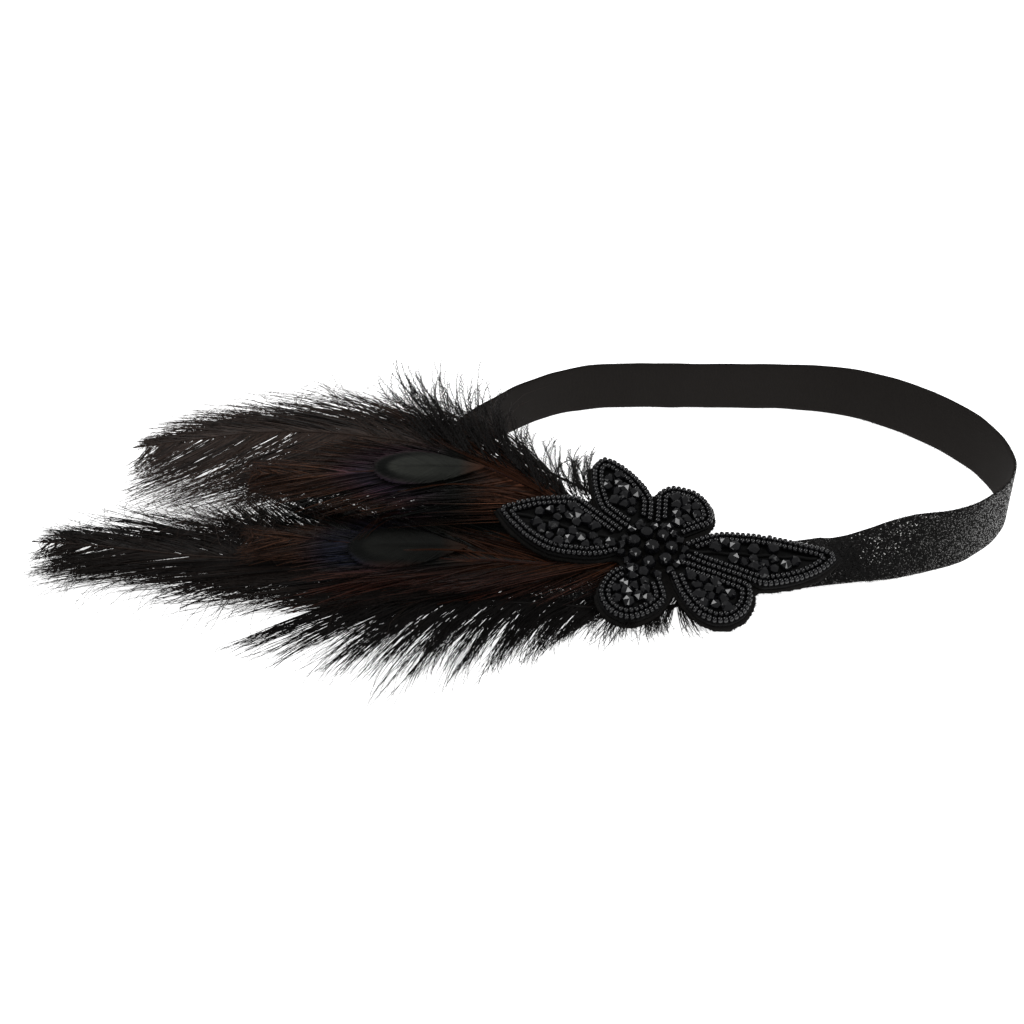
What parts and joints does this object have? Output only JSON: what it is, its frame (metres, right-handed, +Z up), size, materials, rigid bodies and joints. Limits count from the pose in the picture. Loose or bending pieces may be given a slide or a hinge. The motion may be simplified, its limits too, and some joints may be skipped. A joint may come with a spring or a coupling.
{
  "type": "flapper feather headband",
  "caption": "Elastic ribbon headband with a beaded felt flower at the front and a spray of peacock and long feathers beside it.",
  "frame": {"origin": "on the surface, under the middle of the bounding box as the headband lies", "axes": "+X along the length, from the feather tips to the far bend of the loop; +Y away from the viewer, from the flower to the back of the loop; +Z up"},
  "size_m": [0.3434, 0.1736, 0.0331],
  "materials": {
    "ribbon": "black velvet with fine glitter outside, matte inside",
    "felt": "matte felt",
    "beadwork": "glossy faceted black beads on felt",
    "beads": "glossy faceted black",
    "plumage": "dyed black feather, soft sheen",
    "peacock": "dyed peacock feather, brown barbs with a dark iridescent eye"
  },
  "bodies": {
    "root": {"elastic_band": "ribbon", "felt_backing": "felt", "left_leaf": "beadwork", "top_petal": "beadwork", "top_right_petal": "beadwork", "right_leaf": "beadwork", "bottom_right_petal": "beadwork", "bottom_left_petal": "beadwork", "center_bead": "beads", "rosette_bead_1": "beads", "rosette_bead_2": "beads", "rosette_bead_3": "beads", "rosette_bead_4": "beads", "rosette_bead_5": "beads", "rosette_bead_6": "beads", "rosette_bead_7": "beads", "long_plume_upper": "plumage", "long_plume_lower": "plumage", "fringe_upper": "plumage", "fringe_lower": "plumage", "peacock_feather_upper": "peacock", "peacock_feather_lower": "peacock"}
  },
  "joints": []
}
